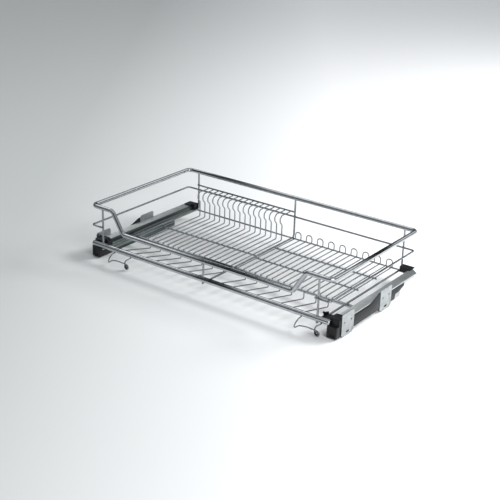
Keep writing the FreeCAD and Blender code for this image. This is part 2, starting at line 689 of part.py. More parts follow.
def make_rear_clip(side, sign, wire_side, tongue, cap):
    """Plastic clip on the rear bar, with a tongue over the rear end of the drawer rail."""
    top = size["rail_top"]
    core = side_box(f"{side}_rear_clip_core", sign, wire_side, size["rail_in"] - 0.2,
                    ("Sheet.rear_y - 17", "Sheet.clip_back"), (top - 15.7, top + cap))
    over = side_box(f"{side}_rear_clip_tongue", sign, size["rail_in"] - 1, size["rail_in"] + tongue,
                    ("Sheet.rear_y - 27", "Sheet.clip_back - 1"), (top, top + cap))
    joined = doc.addObject("Part::Fuse", f"{side}_rear_clip_joined")
    joined.Base = core
    joined.Tool = over
    keep(joined, f"{side}_rear_clip")


def make_clips():
    """Front and rear clips on both sides; the basket sits nearer to the left-hand runner."""
    for side, sign, tongue, cap in (("right", 1, 6.0, 1.8), ("left", -1, 22.0, 4.0)):
        wire_side = size["side_wire_x"] + sign * size["basket_x"] + size["frame_r"] + 0.1
        make_front_clip(side, sign, wire_side)
        make_rear_clip(side, sign, wire_side, tongue, cap)


# ---- assembly ----------------------------------------------------------------------------

make_top_rail()
make_mid_rail()
rod_along_x("front_rail", "Sheet.front_r", "Sheet.basket_x - Sheet.half_width - 2",
            "Sheet.basket_x + Sheet.half_width + 2", "Sheet.front_y", "Sheet.front_rail_z")
rod_along_x("front_cross_bar", "Sheet.bar_r", "-Sheet.rail_in", "Sheet.rail_in",
            "Sheet.bar_y", "Sheet.base_z - Sheet.fine_r - Sheet.bar_r + 0.1")
rod_along_x("rear_cross_bar", "Sheet.cross_r", "-Sheet.rail_in", "Sheet.rail_in",
            "Sheet.post_y - 1.8", "Sheet.base_z - 2.27")
CROSS_Z = "Sheet.base_z - Sheet.fine_r - Sheet.cross_r + 0.1"
rod_along_x("left_cross_wire", "Sheet.cross_r", "Sheet.basket_x - 372", "Sheet.basket_x - 5",
            "Sheet.front_y + 262.5", CROSS_Z)
rod_along_x("right_front_cross_wire", "Sheet.cross_r", "Sheet.basket_x", "Sheet.basket_x + 352",
            "Sheet.front_y + 249", CROSS_Z)
rod_along_x("right_rear_cross_wire", "Sheet.cross_r", "Sheet.basket_x", "Sheet.basket_x + 352",
            "Sheet.front_y + 349", CROSS_Z)
rod_along_x("plate_rail", "Sheet.cross_r", "Sheet.basket_x - Sheet.side_wire_x - 1", "Sheet.basket_x + 1",
            "Sheet.post_y - Sheet.frame_r - Sheet.cross_r + 0.1", "Sheet.plate_rail_z")
make_frame_wire("left_side_wire", -size["side_wire_x"], size["top_rail_z"])
make_frame_wire("right_side_wire", size["side_wire_x"], size["top_rail_z"])
make_frame_wire("centre_wire", 0.0, size["dip_z"])
make_plate_wires()
make_bowl_wires()
make_tray_wires()
make_hook("left_front_hook", -331.0)
make_hook("right_front_hook", 328.0)
make_drawer_rail()
make_middle_rail()
make_cabinet_rail()
make_ball_cage("upper", size["runner_front"] + 167.0, size["rail_top"] - 10.0,
               (size["rail_top"] - 3.6, size["rail_top"] - 2.4))
make_ball_cage("lower", size["runner_front"] + 100.0, size["rail_top"] - 35.0,
               (size["rail_top"] - 43.4, size["rail_top"] - 42.2))
make_bracket("front_bracket", "Sheet.front_bracket_y")
make_bracket("rear_bracket", "Sheet.rear_bracket_y")
make_rivets()
make_damper_housing()
make_damper()
make_front_block()
make_clips()
doc.recompute()

for item in doc.Objects:
    if "Invalid" in item.State or "Error" in item.State:
        raise RuntimeError(f"{item.Name} failed: {item.State}")
os.makedirs("parts", exist_ok=True)
for part in PARTS:
    shape = part.Shape
    if shape.isNull() or not shape.isValid():
        raise RuntimeError(f"{part.Label} has no valid shape")
    shape.exportStep(f"parts/{part.Label}.step")
print(len(PARTS), "sub-parts")
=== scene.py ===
"""Looks of a pull-out dish basket on soft-close runners: chromed wire, zinc-plated sheet, black plastic."""

import json
from math import cos, pi, radians, sin

import bmesh
import bpy
import numpy as np
from mathutils import Matrix, Vector


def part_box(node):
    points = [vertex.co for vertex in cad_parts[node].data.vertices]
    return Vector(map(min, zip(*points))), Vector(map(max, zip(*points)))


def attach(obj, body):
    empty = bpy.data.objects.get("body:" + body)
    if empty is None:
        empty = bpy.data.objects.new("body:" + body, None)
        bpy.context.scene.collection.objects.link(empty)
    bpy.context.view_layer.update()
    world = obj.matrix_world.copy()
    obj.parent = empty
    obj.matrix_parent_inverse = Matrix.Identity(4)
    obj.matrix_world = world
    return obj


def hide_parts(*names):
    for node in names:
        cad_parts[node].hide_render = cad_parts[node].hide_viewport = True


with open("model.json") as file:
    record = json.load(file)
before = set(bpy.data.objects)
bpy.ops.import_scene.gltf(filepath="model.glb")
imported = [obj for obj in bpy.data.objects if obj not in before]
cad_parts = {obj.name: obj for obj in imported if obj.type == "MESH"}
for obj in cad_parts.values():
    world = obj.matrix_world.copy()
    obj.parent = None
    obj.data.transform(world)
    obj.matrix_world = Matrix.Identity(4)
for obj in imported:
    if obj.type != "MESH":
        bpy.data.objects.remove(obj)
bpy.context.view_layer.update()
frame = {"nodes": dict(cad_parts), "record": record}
MM = 0.001


# ---- materials ---------------------------------------------------------------------------


def linear(hex_colour):
    """An sRGB hex colour as linear light, with full alpha."""
    parts = [int(hex_colour[i:i + 2], 16) / 255 for i in (1, 3, 5)]
    return [c / 12.92 if c <= 0.04045 else ((c + 0.055) / 1.055) ** 2.4 for c in parts] + [1.0]


def add(owner, kind, links=None, stops=None, **settings):
    """Adds one node to a material or world.

    settings are its own properties or its sockets' values, with _ for a space in a socket's name.
    links name the inputs that other nodes feed, and stops are a colour ramp's places and hex colours.
    """
    node = owner.node_tree.nodes.new(kind)
    for name, value in settings.items():
        if hasattr(node, name):
            setattr(node, name, value)
        else:
            node.inputs[name.replace("_", " ")].default_value = value
    for name, source in (links or {}).items():
        owner.node_tree.links.new(source, node.inputs[name])
    if stops:
        elements = node.color_ramp.elements
        while len(elements) < len(stops):
            elements.new(0.5)
        for element, (place, colour) in zip(elements, stops):
            element.position, element.color = place, linear(colour)
    return node


def per_mm(grain_mm):
    """The noise scale that gives features about grain_mm across."""
    return 1 / (grain_mm * MM)


def new_material(name):
    """An empty material."""
    material = bpy.data.materials.new(name)
    material.use_nodes = True
    material.node_tree.nodes.clear()
    return material


def make_chrome(name, dull, bright, polish):
    """Chromium plate on steel: a mirror, slightly wavy from the drawing die, with faint polishing haze.

    The haze drifts over 9 mm and the die's waves over 6 mm, so a long reflection wavers a little.
    """
    m = new_material(name)
    place = add(m, "ShaderNodeTexCoord").outputs["Object"]
    haze = add(m, "ShaderNodeTexNoise", {"Vector": place}, Scale=per_mm(9.0), Detail=2.0)
    tone = add(m, "ShaderNodeValToRGB", {"Fac": haze.outputs["Fac"]}, [(0.3, dull), (0.7, bright)])
    buff = add(m, "ShaderNodeTexNoise", {"Vector": place}, Scale=per_mm(3.0), Detail=3.0)
    gloss = add(m, "ShaderNodeMapRange", {"Value": buff.outputs["Fac"]},
                To_Min=polish - 0.03, To_Max=polish + 0.05)
    wave = add(m, "ShaderNodeTexNoise", {"Vector": place}, Scale=per_mm(6.0), Detail=1.0)
    relief = add(m, "ShaderNodeBump", {"Height": wave.outputs["Fac"]}, Strength=0.25, Distance=0.05 * MM)
    surface = add(m, "ShaderNodeBsdfPrincipled", {
        "Base Color": tone.outputs["Color"], "Roughness": gloss.outputs[0], "Normal": relief.outputs[0],
    }, Metallic=1.0)
    add(m, "ShaderNodeOutputMaterial", {"Surface": surface.outputs[0]})
    return m


def make_zinc():
    """Zinc-plated rolled sheet: grey metal with soft clouds and a satin sheen.

    Rolling lines run along Y. Real ones are finer; 0.7 mm is what shows at this distance.
    """
    m = new_material("zinc_plated_sheet")
    place = add(m, "ShaderNodeTexCoord").outputs["Object"]
    cloud = add(m, "ShaderNodeTexNoise", {"Vector": place}, Scale=per_mm(14.0), Detail=4.0)
    tone = add(m, "ShaderNodeValToRGB", {"Fac": cloud.outputs["Fac"]}, [(0.25, "#A9AEAE"), (0.75, "#C4C8C8")])
    rolled = add(m, "ShaderNodeMapping", {"Vector": place}, Scale=(1.0, 0.03, 1.0))
    lines = add(m, "ShaderNodeTexNoise", {"Vector": rolled.outputs[0]}, Scale=per_mm(0.7), Detail=2.0)
    gloss = add(m, "ShaderNodeMapRange", {"Value": lines.outputs["Fac"]}, To_Min=0.24, To_Max=0.42)
    relief = add(m, "ShaderNodeBump", {"Height": lines.outputs["Fac"]}, Strength=0.5, Distance=0.03 * MM)
    surface = add(m, "ShaderNodeBsdfPrincipled", {
        "Base Color": tone.outputs["Color"], "Roughness": gloss.outputs[0], "Normal": relief.outputs[0],
    }, Metallic=1.0)
    add(m, "ShaderNodeOutputMaterial", {"Surface": surface.outputs[0]})
    return m


def make_rail_with_painted_shade():
    """Rolled rail steel: zinc outside, and painted shade on the faces turned inward, which lie in the
    basket's shade.

    The painted shade lies where a face looks towards the middle of the basket: its normal's X times the sign
    of its place along X is negative. It is broken into streaks stretched along Y.
    """
    m = new_material("rolled_rail_with_painted_shade")
    place = add(m, "ShaderNodeTexCoord").outputs["Object"]
    cloud = add(m, "ShaderNodeTexNoise", {"Vector": place}, Scale=per_mm(14.0), Detail=4.0)
    bare_zinc = add(m, "ShaderNodeValToRGB", {"Fac": cloud.outputs["Fac"]},
                [(0.25, "#CDD1D1"), (0.75, "#E2E5E5")])
    drawn = add(m, "ShaderNodeMapping", {"Vector": place}, Scale=(1.0, 0.012, 1.0))
    lines = add(m, "ShaderNodeTexNoise", {"Vector": drawn.outputs[0]}, Scale=per_mm(4.5), Detail=2.0)
    # Painted shade: dark streaks standing in for the shade and dark reflections on the runners' inner faces.
    painted_shade_streaks = add(m, "ShaderNodeValToRGB", {"Fac": lines.outputs["Fac"]}, [(0.42, "#48504F"), (0.62, "#A3AEAC")])
    normal = add(m, "ShaderNodeNewGeometry").outputs["Normal"]
    facing = add(m, "ShaderNodeSeparateXYZ", {"Vector": normal})
    spot = add(m, "ShaderNodeSeparateXYZ", {"Vector": place})
    half = add(m, "ShaderNodeMath", {0: spot.outputs["X"]}, operation="SIGN")
    inward = add(m, "ShaderNodeMath", {0: facing.outputs["X"], 1: half.outputs[0]}, operation="MULTIPLY")
    # The share of painted shade grows as a face turns towards the middle of the basket.
    share = add(m, "ShaderNodeMapRange", {"Value": inward.outputs[0]}, From_Min=-0.2, From_Max=-0.7)
    tone = add(m, "ShaderNodeMix", {
        "Factor": share.outputs[0], 6: bare_zinc.outputs["Color"], 7: painted_shade_streaks.outputs["Color"],
    }, data_type="RGBA")
    gloss = add(m, "ShaderNodeMapRange", {"Value": lines.outputs["Fac"]}, To_Min=0.42, To_Max=0.62)
    relief = add(m, "ShaderNodeBump", {"Height": lines.outputs["Fac"]}, Strength=0.4, Distance=0.03 * MM)
    surface = add(m, "ShaderNodeBsdfPrincipled", {
        "Base Color": tone.outputs[2], "Roughness": gloss.outputs[0], "Normal": relief.outputs[0],
    }, Metallic=1.0)
    add(m, "ShaderNodeOutputMaterial", {"Surface": surface.outputs[0]})
    return m


def make_black_plastic():
    """Moulded black nylon: near-black and satin.

    The mould's spark-eroded grain is nearer 0.2 mm; 0.6 mm is what shows at this distance.
    """
    m = new_material("moulded_black_nylon")
    place = add(m, "ShaderNodeTexCoord").outputs["Object"]
    cloud = add(m, "ShaderNodeTexNoise", {"Vector": place}, Scale=per_mm(12.0), Detail=2.0)
    tone = add(m, "ShaderNodeValToRGB", {"Fac": cloud.outputs["Fac"]}, [(0.3, "#0A0B0C"), (0.7, "#131518")])
    grain = add(m, "ShaderNodeTexNoise", {"Vector": place}, Scale=per_mm(0.6), Detail=2.0)
    gloss = add(m, "ShaderNodeMapRange", {"Value": grain.outputs["Fac"]}, To_Min=0.34, To_Max=0.52)
    relief = add(m, "ShaderNodeBump", {"Height": grain.outputs["Fac"]}, Strength=0.5, Distance=0.04 * MM)
    surface = add(m, "ShaderNodeBsdfPrincipled", {
        "Base Color": tone.outputs["Color"], "Roughness": gloss.outputs[0], "Normal": relief.outputs[0],
    }, IOR=1.46)
    add(m, "ShaderNodeOutputMaterial", {"Surface": surface.outputs[0]})
    return m


def make_cage_plastic():
    """Natural acetal of the ball cages: milky white and smooth."""
    m = new_material("natural_acetal")
    place = add(m, "ShaderNodeTexCoord").outputs["Object"]
    cloud = add(m, "ShaderNodeTexNoise", {"Vector": place}, Scale=per_mm(10.0), Detail=2.0)
    tone = add(m, "ShaderNodeValToRGB", {"Fac": cloud.outputs["Fac"]}, [(0.3, "#D5D4CC"), (0.7, "#E6E5DF")])
    skin = add(m, "ShaderNodeTexNoise", {"Vector": place}, Scale=per_mm(2.0), Detail=3.0)
    gloss = add(m, "ShaderNodeMapRange", {"Value": skin.outputs["Fac"]}, To_Min=0.32, To_Max=0.46)
    surface = add(m, "ShaderNodeBsdfPrincipled", {
        "Base Color": tone.outputs["Color"], "Roughness": gloss.outputs[0],
    }, IOR=1.48)
    add(m, "ShaderNodeOutputMaterial", {"Surface": surface.outputs[0]})
    return m


def make_hard_steel():
    """Ground bearing steel: bright, with fine turning marks, drawn coarse at 0.8 mm to show."""
    m = new_material("ground_bearing_steel")
    place = add(m, "ShaderNodeTexCoord").outputs["Object"]
    marks = add(m, "ShaderNodeTexNoise", {"Vector": place}, Scale=per_mm(0.8), Detail=2.0)
    tone = add(m, "ShaderNodeValToRGB", {"Fac": marks.outputs["Fac"]}, [(0.3, "#B9BCC0"), (0.7, "#CFD1D4")])
    gloss = add(m, "ShaderNodeMapRange", {"Value": marks.outputs["Fac"]}, To_Min=0.10, To_Max=0.24)
    surface = add(m, "ShaderNodeBsdfPrincipled", {
        "Base Color": tone.outputs["Color"], "Roughness": gloss.outputs[0],
    }, Metallic=1.0)
    add(m, "ShaderNodeOutputMaterial", {"Surface": surface.outputs[0]})
    return m


def make_rubber():
    """Moulded nitrile rubber: dull black-grey with a dusty bloom."""
    m = new_material("moulded_nitrile_rubber")
    place = add(m, "ShaderNodeTexCoord").outputs["Object"]
    bloom = add(m, "ShaderNodeTexNoise", {"Vector": place}, Scale=per_mm(2.5), Detail=3.0)
    tone = add(m, "ShaderNodeValToRGB", {"Fac": bloom.outputs["Fac"]}, [(0.3, "#212222"), (0.7, "#343535")])
    relief = add(m, "ShaderNodeBump", {"Height": bloom.outputs["Fac"]}, Strength=0.5, Distance=0.05 * MM)
    surface = add(m, "ShaderNodeBsdfPrincipled", {
        "Base Color": tone.outputs["Color"], "Normal": relief.outputs[0],
    }, Roughness=0.72, IOR=1.52)
    add(m, "ShaderNodeOutputMaterial", {"Surface": surface.outputs[0]})
    return m


# The thin wires and the thick tubes share one chrome, the tubes' copy lighter: painted light, for the floor's
# light their wide curve reflects.
FINISHES = {
    "chromed_wire": make_chrome("chromed_drawn_wire", "#8D9093", "#A1A4A7", 0.09),
    "zinc_plated_steel": make_zinc(),
    "black_plastic": make_black_plastic(),
    "cage_plastic": make_cage_plastic(),
    "polished_steel": make_hard_steel(),
    "dark_rubber": make_rubber(),
}
RAIL_WITH_PAINTED_SHADE = make_rail_with_painted_shade()
# Painted light: a lighter copy of the wires' chrome for the thick tubes.
TUBE_CHROME_PAINTED_LIGHT = make_chrome("bright_chromed_tube", "#AEB1B4", "#C2C5C8", 0.06)
RUNNER_RAILS = ("drawer_rail", "middle_rail", "cabinet_rail")
TUBES = ("top_rail", "front_rail", "front_cross_bar")


def give_finish(piece, slot):
    """Gives a piece or a CAD node its slot's material; tubes get the lighter chrome (painted light), runners'
    rails painted shade.
    """
    finish = FINISHES[slot]
    if any(kind in piece.name for kind in RUNNER_RAILS):
        finish = RAIL_WITH_PAINTED_SHADE
    if piece.name.startswith(TUBES):
        finish = TUBE_CHROME_PAINTED_LIGHT
    piece.data.materials.clear()
    piece.data.materials.append(finish)


SLOT_OF = {row["node"]: row["material_slot"] for row in frame["record"]["subparts"]}
for node_name, node in frame["nodes"].items():
    give_finish(node, SLOT_OF[node_name])


# ---- wires and tubes ---------------------------------------------------------------------


DOME = 0.45         # height of a wire's rounded end, as a share of its radius
ARC_STEP = radians(7)


def rounded(points, bends, closed=False):
    """Path through the points, each corner an arc of the bend's radius.

    The arc's middle lies radius / cos(half the turn) from the corner, on the line that halves it.
    """
    points = np.array(points, float)
    count = len(points)
    bends = np.broadcast_to(np.array(bends, float), (count,))
    stretches = []
    for i, corner in enumerate(points):
        if not closed and i in (0, count - 1):
            stretches.append(corner[None])
            continue
        before, after = points[i - 1] - corner, points[(i + 1) % count] - corner
        before, after = before / np.linalg.norm(before), after / np.linalg.norm(after)
        turn = pi - np.arccos(np.clip(before @ after, -1, 1))
        middle = (before + after) / np.linalg.norm(before + after)
        centre = corner + middle * bends[i] / cos(turn / 2)
        steps = max(3, int(np.ceil(turn / ARC_STEP)))
        angle = np.linspace(-turn / 2, turn / 2, steps + 1)[:, None]
        sideways = (after - before) / np.linalg.norm(after - before)
        stretches.append(centre + bends[i] * (-middle * np.cos(angle) + sideways * np.sin(angle)))
    return np.concatenate(stretches)


def ring_quads(rows, sides, closed):
    """Four-sided faces between neighbouring rings; a closed run joins its last ring to its first."""
    spans = rows if closed else rows - 1
    r, c = np.meshgrid(np.arange(spans), np.arange(sides), indexing="ij")
    r2, c2 = (r + 1) % rows, (c + 1) % sides
    return np.stack([r * sides + c, r * sides + c2, r2 * sides + c2, r2 * sides + c], -1).reshape(-1, 4)


def tube(path, radius, sides=14, closed=False, away=(0, 0, 1)):
    """Round wire: rings carried along the path, square to it; open ends get a low dome.

    Each ring is centre + radius * (across * cos + over * sin), with across = direction x away.
    """
    ahead, behind = np.roll(path, -1, 0), np.roll(path, 1, 0)
    if not closed:
        ahead[-1], behind[0] = path[-1], path[0]
    direction = ahead - behind
    direction /= np.linalg.norm(direction, axis=1)[:, None]
    size = np.full(len(path), radius)
    if not closed:
        lift = radians(1) * np.array([75, 50, 25])
        first, last = path[:1], path[-1:]
        reach = (radius * DOME * np.sin(lift))[:, None]
        path = np.concatenate([first - direction[:1] * reach, path, last + direction[-1:] * reach[::-1]])
        shrink = radius * (1 - DOME + DOME * np.cos(lift))
        size = np.concatenate([shrink, size, shrink[::-1]])
        direction = np.concatenate([direction[:1].repeat(3, 0), direction, direction[-1:].repeat(3, 0)])
    across = np.cross(direction, np.array(away, float))
    across /= np.linalg.norm(across, axis=1)[:, None]
    over = np.cross(direction, across)
    turn = np.arange(sides) * 2 * pi / sides
    ring = across[:, None] * np.cos(turn)[None, :, None] + over[:, None] * np.sin(turn)[None, :, None]
    points = (path[:, None] + size[:, None, None] * ring).reshape(-1, 3)
    faces = [ring_quads(len(path), sides, closed)]
    if not closed:
        start = np.arange(sides)[None, ::-1]
        faces += [start, np.arange(sides)[None] + (len(path) - 1) * sides]
    return points, faces


def mesh_piece(name, shapes, body, slot, replaced=()):
    """One piece from a list of (points, arrays of faces), riding on a body and standing for CAD nodes."""
    points = np.concatenate([shape[0] for shape in shapes])
    faces, offset = [], 0
    for shape_points, shape_faces in shapes:
        for block in shape_faces:
            faces += (block + offset).tolist()
        offset += len(shape_points)
    mesh = bpy.data.meshes.new(name)
    mesh.from_pydata(points.tolist(), [], faces)
    mesh.validate()
    mesh.shade_smooth()
    piece = bpy.data.objects.new(name, mesh)
    bpy.context.scene.collection.objects.link(piece)
    give_finish(piece, slot)
    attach(piece, body)
    if replaced:
        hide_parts(*replaced)


def wire_piece(name, paths, radius, node, **how):
    """Chromed wires of one CAD node."""
    mesh_piece(name, [tube(path, radius, **how) for path in paths], "basket", "chromed_wire", [node])


def node_box(node):
    """Lowest and highest corner of a CAD node as arrays."""
    low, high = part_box(node)
    return np.array(low), np.array(high)


def rod_axis(node):
    """Y and Z of a straight rod's middle line."""
    low, high = node_box(node)
    return (low[1] + high[1]) / 2, (low[2] + high[2]) / 2


# Radii of the tubes and wires, and of their bends.
RAIL_R = 6.5 * MM
FRONT_R = 8 * MM
BAR_R = 5 * MM
MID_R = 2.75 * MM
FRAME_R = 2.9 * MM
CROSS_R = 2.5 * MM
FINE_R = 1.75 * MM
RAIL_BEND = 15 * MM
FRAME_BEND = 9 * MM
FINE_BEND = 5 * MM
WELD_SINK = 0.08 * MM

rail_low, rail_high = node_box("top_rail")
LEFT, FRONT, DIP_Z = rail_low + RAIL_R
RIGHT, REAR, TOP_Z = rail_high - RAIL_R
BASKET_X = (LEFT + RIGHT) / 2
front_low, front_high = node_box("front_rail")
FRONT_RAIL_Z = rod_axis("front_rail")[1]
BAR_Y, BAR_Z = rod_axis("front_cross_bar")
plate_low, plate_high = node_box("plate_wires")
BASE_WIRE_Z = plate_low[2] + FINE_R
BASE_WIRE_FRONT = plate_low[1] + DOME * FINE_R

FRAME_WIRES = ("left_side_wire", "centre_wire", "right_side_wire")
CROSS_RODS = ("left_cross_wire", "right_front_cross_wire", "right_rear_cross_wire", "rear_cross_bar")
BOWL_RODS = CROSS_RODS[1:3]
PLATE_COUNT = 17
BOWL_COUNT = 9
TRAY_PITCH = 40 * MM


def straight_rod(node, radius, sides=16):
    """A straight rod along X that fills its CAD node's box."""
    low, high = node_box(node)
    inset = DOME * radius
    xs = np.linspace(low[0] + inset, high[0] - inset, 9)
    y, z = (np.full(9, place) for place in rod_axis(node))
    wire_piece(node + "_rod", [np.stack([xs, y, z], 1)], radius, node, sides=sides)


def make_top_rail():
    """Closed loop with rounded corners; the front run dips between two slanted stretches."""
    shoulder, foot = 77 * MM, 117 * MM
    points = [
        (LEFT, REAR, TOP_Z), (LEFT, FRONT, TOP_Z), (LEFT + shoulder, FRONT, TOP_Z),
        (LEFT + foot, FRONT, DIP_Z), (RIGHT - foot, FRONT, DIP_Z), (RIGHT - shoulder, FRONT, TOP_Z),
        (RIGHT, FRONT, TOP_Z), (RIGHT, REAR, TOP_Z),
    ]
    loop = rounded(points, RAIL_BEND, closed=True)
    wire_piece("top_rail_tube", [loop], RAIL_R, "top_rail", sides=28, closed=True)


def make_mid_rail():
    """Open wire round the sides and back; both ends turn in at the front."""
    low, high = node_box("mid_rail")
    left, front = low[0] + MID_R, low[1] + MID_R
    right, rear, z = high[0] - MID_R, high[1] - MID_R, (low[2] + high[2]) / 2
    reach = 370 * MM
    points = [(BASKET_X - reach, front, z), (left, front, z), (left, rear, z), (right, rear, z),
              (right, front, z), (BASKET_X + reach, front, z)]
    wire_piece("mid_rail_wire", [rounded(points, FRAME_BEND)], MID_R, "mid_rail")


def post_end(node):
    """Height of the underside of the top rail over a frame wire's front post."""
    return (DIP_Z if node == "centre_wire" else TOP_Z) - RAIL_R


def make_frame_wire(node):
    """Front post between the two front rails, and a wire that runs back from them and up at the rear."""
    low, high = node_box(node)
    x, run_z = (low[0] + high[0]) / 2, low[2] + FRAME_R
    rear = high[1] - FRAME_R
    post = np.array([(x, FRONT, front_high[2] - WELD_SINK), (x, FRONT, post_end(node) + WELD_SINK)])
    run = rounded([(x, low[1] + DOME * FRAME_R, run_z), (x, rear, run_z), (x, rear, high[2])], FRAME_BEND)
    wire_piece(node + "_pair", [post, run], FRAME_R, node, away=(1, 0, 0))


def plate_wire_places():
    """Where the plate wires stand, along X."""
    return np.linspace(plate_low[0] + FINE_R, plate_high[0] - FINE_R, PLATE_COUNT)


def make_plate_wires():
    """Each base wire rises near the back, kinks forward and runs back to the plate rail."""
    top = plate_high[2] - FINE_R
    foot_y = REAR - 42 * MM
    neck_y = foot_y - 11 * MM
    head = 8 * MM
    outline = [
        (BASE_WIRE_FRONT, BASE_WIRE_Z), (foot_y, BASE_WIRE_Z), (foot_y, BASE_WIRE_Z + 50 * MM),
        (neck_y, BASE_WIRE_Z + 62 * MM), (neck_y, top - head), (neck_y + head, top),
        (plate_high[1] - DOME * FINE_R, top),
    ]
    kink = 7 * MM
    bends = [0, FINE_BEND, kink, kink, FINE_BEND, FINE_BEND, 0]
    paths = [rounded([(x, y, z) for y, z in outline], bends) for x in plate_wire_places()]
    wire_piece("plate_divider_wires", paths, FINE_R, "plate_wires", sides=12, away=(1, 0, 0))


def bowl_wire_places():
    """Where the two legs of each bowl hairpin lie, along X."""
    low, high = node_box("bowl_wires")
    return np.linspace(low[0] + FINE_R, high[0] - FINE_R, 2 * BOWL_COUNT).reshape(BOWL_COUNT, 2)


def make_bowl_wires():
    """Hairpins: two base wires joined at the back by a round arch."""
    high = node_box("bowl_wires")[1]
    rear, top = high[1] - FINE_R, high[2] - FINE_R
    arch = 9.5 * MM
    bends = [0, FINE_BEND, arch, arch, FINE_BEND, 0]
    leg = [(BASE_WIRE_FRONT, BASE_WIRE_Z), (rear, BASE_WIRE_Z), (rear, top)]
    paths = []
    for left_leg, right_leg in bowl_wire_places():
        points = [(left_leg, y, z) for y, z in leg] + [(right_leg, y, z) for y, z in reversed(leg)]
        paths.append(rounded(points, bends))
    wire_piece("bowl_hairpins", paths, FINE_R, "bowl_wires", sides=12, away=(0, -1, 1))


TRAY_LEG_Y = node_box("front_tray_wires")[1][1] - FINE_R
TRAY_START = np.array([FRONT + 6.8 * MM, FRONT_RAIL_Z - 4.4 * MM])


def tray_wire_places():
    """Where the front tray's wires lie, along X: eight each side of the middle one, which is left out."""
    steps = np.arange(-8, 9)
    return BASKET_X + TRAY_PITCH * steps[steps != 0]


def make_tray_wires():
    """Front tray: each wire slopes back from the front rail and turns up to the cross bar."""
    foot_z, leg_top, bend = 5.5 * MM, BAR_Z + 1.2 * MM, 4.5 * MM
    paths = [rounded([(x, *TRAY_START), (x, TRAY_LEG_Y, foot_z), (x, TRAY_LEG_Y, leg_top)], bend)
             for x in tray_wire_places()]
    wire_piece("front_tray_bent_wires", paths, FINE_R, "front_tray_wires", sides=12, away=(1, 0, 0))


HOOK_PLACES = {"left_front_hook": BASKET_X - 331 * MM, "right_front_hook": BASKET_X + 328 * MM}
HOOK_SPAN = 63 * MM
UNDER_RAIL = front_low[2] - FINE_R + 0.1 * MM


def make_hook(node):
    """Front-panel hook: leg, sharp V foot, bowed bar, one turn of an eyelet, and the second leg.

    Places are in mm from the first leg, heights from the floor. The eyelet's points go round a circle,
    45 degrees at a time, each a little further back than the one before.
    """
    x = HOOK_PLACES[node]
    under = UNDER_RAIL / MM
    eye_x, eye_z, eye_r, eye_y, eye_depth = 61, 12, 8.64, -20.7, 4.4
    lead = [(0, 1, under), (0, -12, under - 1.5), (-4, -20, 23), (-10, eye_y, 5), (8, eye_y, 18),
            (30, eye_y, 21.5)]
    turn = np.radians(90 - 45 * np.arange(7))
    eye = [(eye_x + eye_r * cos(a), eye_y + eye_depth * k / 6, eye_z + eye_r * sin(a))
           for k, a in enumerate(turn)]
    tail = [(53.5, -15, 27), (62, -9, under - 1.5), (HOOK_SPAN / MM, 1, under)]
    points = [(x + dx * MM, FRONT + dy * MM, height * MM) for dx, dy, height in lead + eye + tail]
    bends = np.array([0, 6, 30, 2.2, 12, 40] + [6.0] * len(eye) + [10, 5, 0]) * MM
    wire_piece(node + "_wire", [rounded(points, bends)], FINE_R, node, sides=14, away=(0.35, 1, 0.25))


make_top_rail()
make_mid_rail()
straight_rod("front_rail", FRONT_R, 32)
straight_rod("front_cross_bar", BAR_R, 24)
for rod in CROSS_RODS + ("plate_rail",):
    straight_rod(rod, CROSS_R)
for bent in FRAME_WIRES:
    make_frame_wire(bent)
make_plate_wires()
make_bowl_wires()
make_tray_wires()
for hook in HOOK_PLACES:
    make_hook(hook)


# ---- resistance welds ---------------------------------------------------------------------


def beads(spots, reach_mm):
    """Weld nuggets: spot + reach * (cos u cos v, cos u sin v, sin u), a squashed ball at every spot."""
    rows, sides = 5, 8
    u = np.linspace(-pi / 2, pi / 2, rows + 2)[1:-1]
    v = np.arange(sides) * 2 * pi / sides
    ring = np.stack([np.outer(np.cos(u), np.cos(v)), np.outer(np.cos(u), np.sin(v)),
                     np.outer(np.sin(u), np.ones(sides))], -1).reshape(-1, 3)
    ball = np.concatenate([ring, [[0, 0, -1], [0, 0, 1]]])
    points = np.array(spots)[:, None] + np.array(reach_mm) * MM * ball
    k = np.arange(sides)
    after, top, south = (k + 1) % sides, (rows - 1) * sides, np.full(sides, rows * sides)
    caps = np.concatenate([np.stack([after, k, south], 1), np.stack([top + k, top + after, south + 1], 1)])
    offset = np.arange(len(spots))[:, None, None] * len(ball)
    faces = [(ring_quads(rows, sides, False) + offset).reshape(-1, 4), (caps + offset).reshape(-1, 3)]
    return points.reshape(-1, 3), faces


